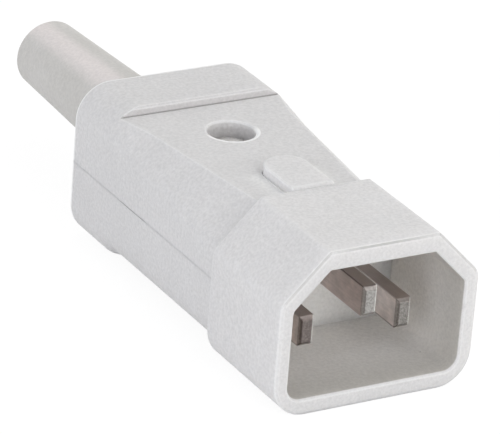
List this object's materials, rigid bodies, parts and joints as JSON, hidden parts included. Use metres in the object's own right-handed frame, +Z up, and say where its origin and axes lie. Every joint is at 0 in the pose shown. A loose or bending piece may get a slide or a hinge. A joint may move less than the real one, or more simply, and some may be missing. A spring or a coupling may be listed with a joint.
{
  "type": "mains inlet plug",
  "caption": "Rewirable plug with a deep collar round flat pins, two housing halves held by a slotted screw, and a tapered bend relief sleeve at the cord end.",
  "frame": {"origin": "centre of the recess at the plane of the mating rim", "axes": "+Y from the mating rim towards the cord end, +X across the body, +Z up through the side with the screw"},
  "size_m": [0.0284, 0.0902, 0.0219],
  "materials": {
    "housing": "fine spark-eroded texture",
    "insulator": "as moulded",
    "sleeve": "smooth, matt",
    "contact": "nickel-plated brass",
    "small_screw": "zinc-plated",
    "screw": "zinc-plated",
    "insert": "turned"
  },
  "bodies": {
    "root": {"front_shroud": "housing", "upper_housing": "housing", "lower_housing": "housing", "contact_carrier": "insulator", "line_pin": "contact", "neutral_pin": "contact", "earth_pin": "contact", "line_terminal_screw": "small_screw", "neutral_terminal_screw": "small_screw", "earth_terminal_screw": "small_screw", "cord_grip_screw_left": "small_screw", "cord_grip_screw_right": "small_screw", "housing_screw": "screw", "threaded_insert": "insert", "cord_grip_bar": "insulator", "bend_relief_sleeve": "sleeve"}
  },
  "joints": []
}
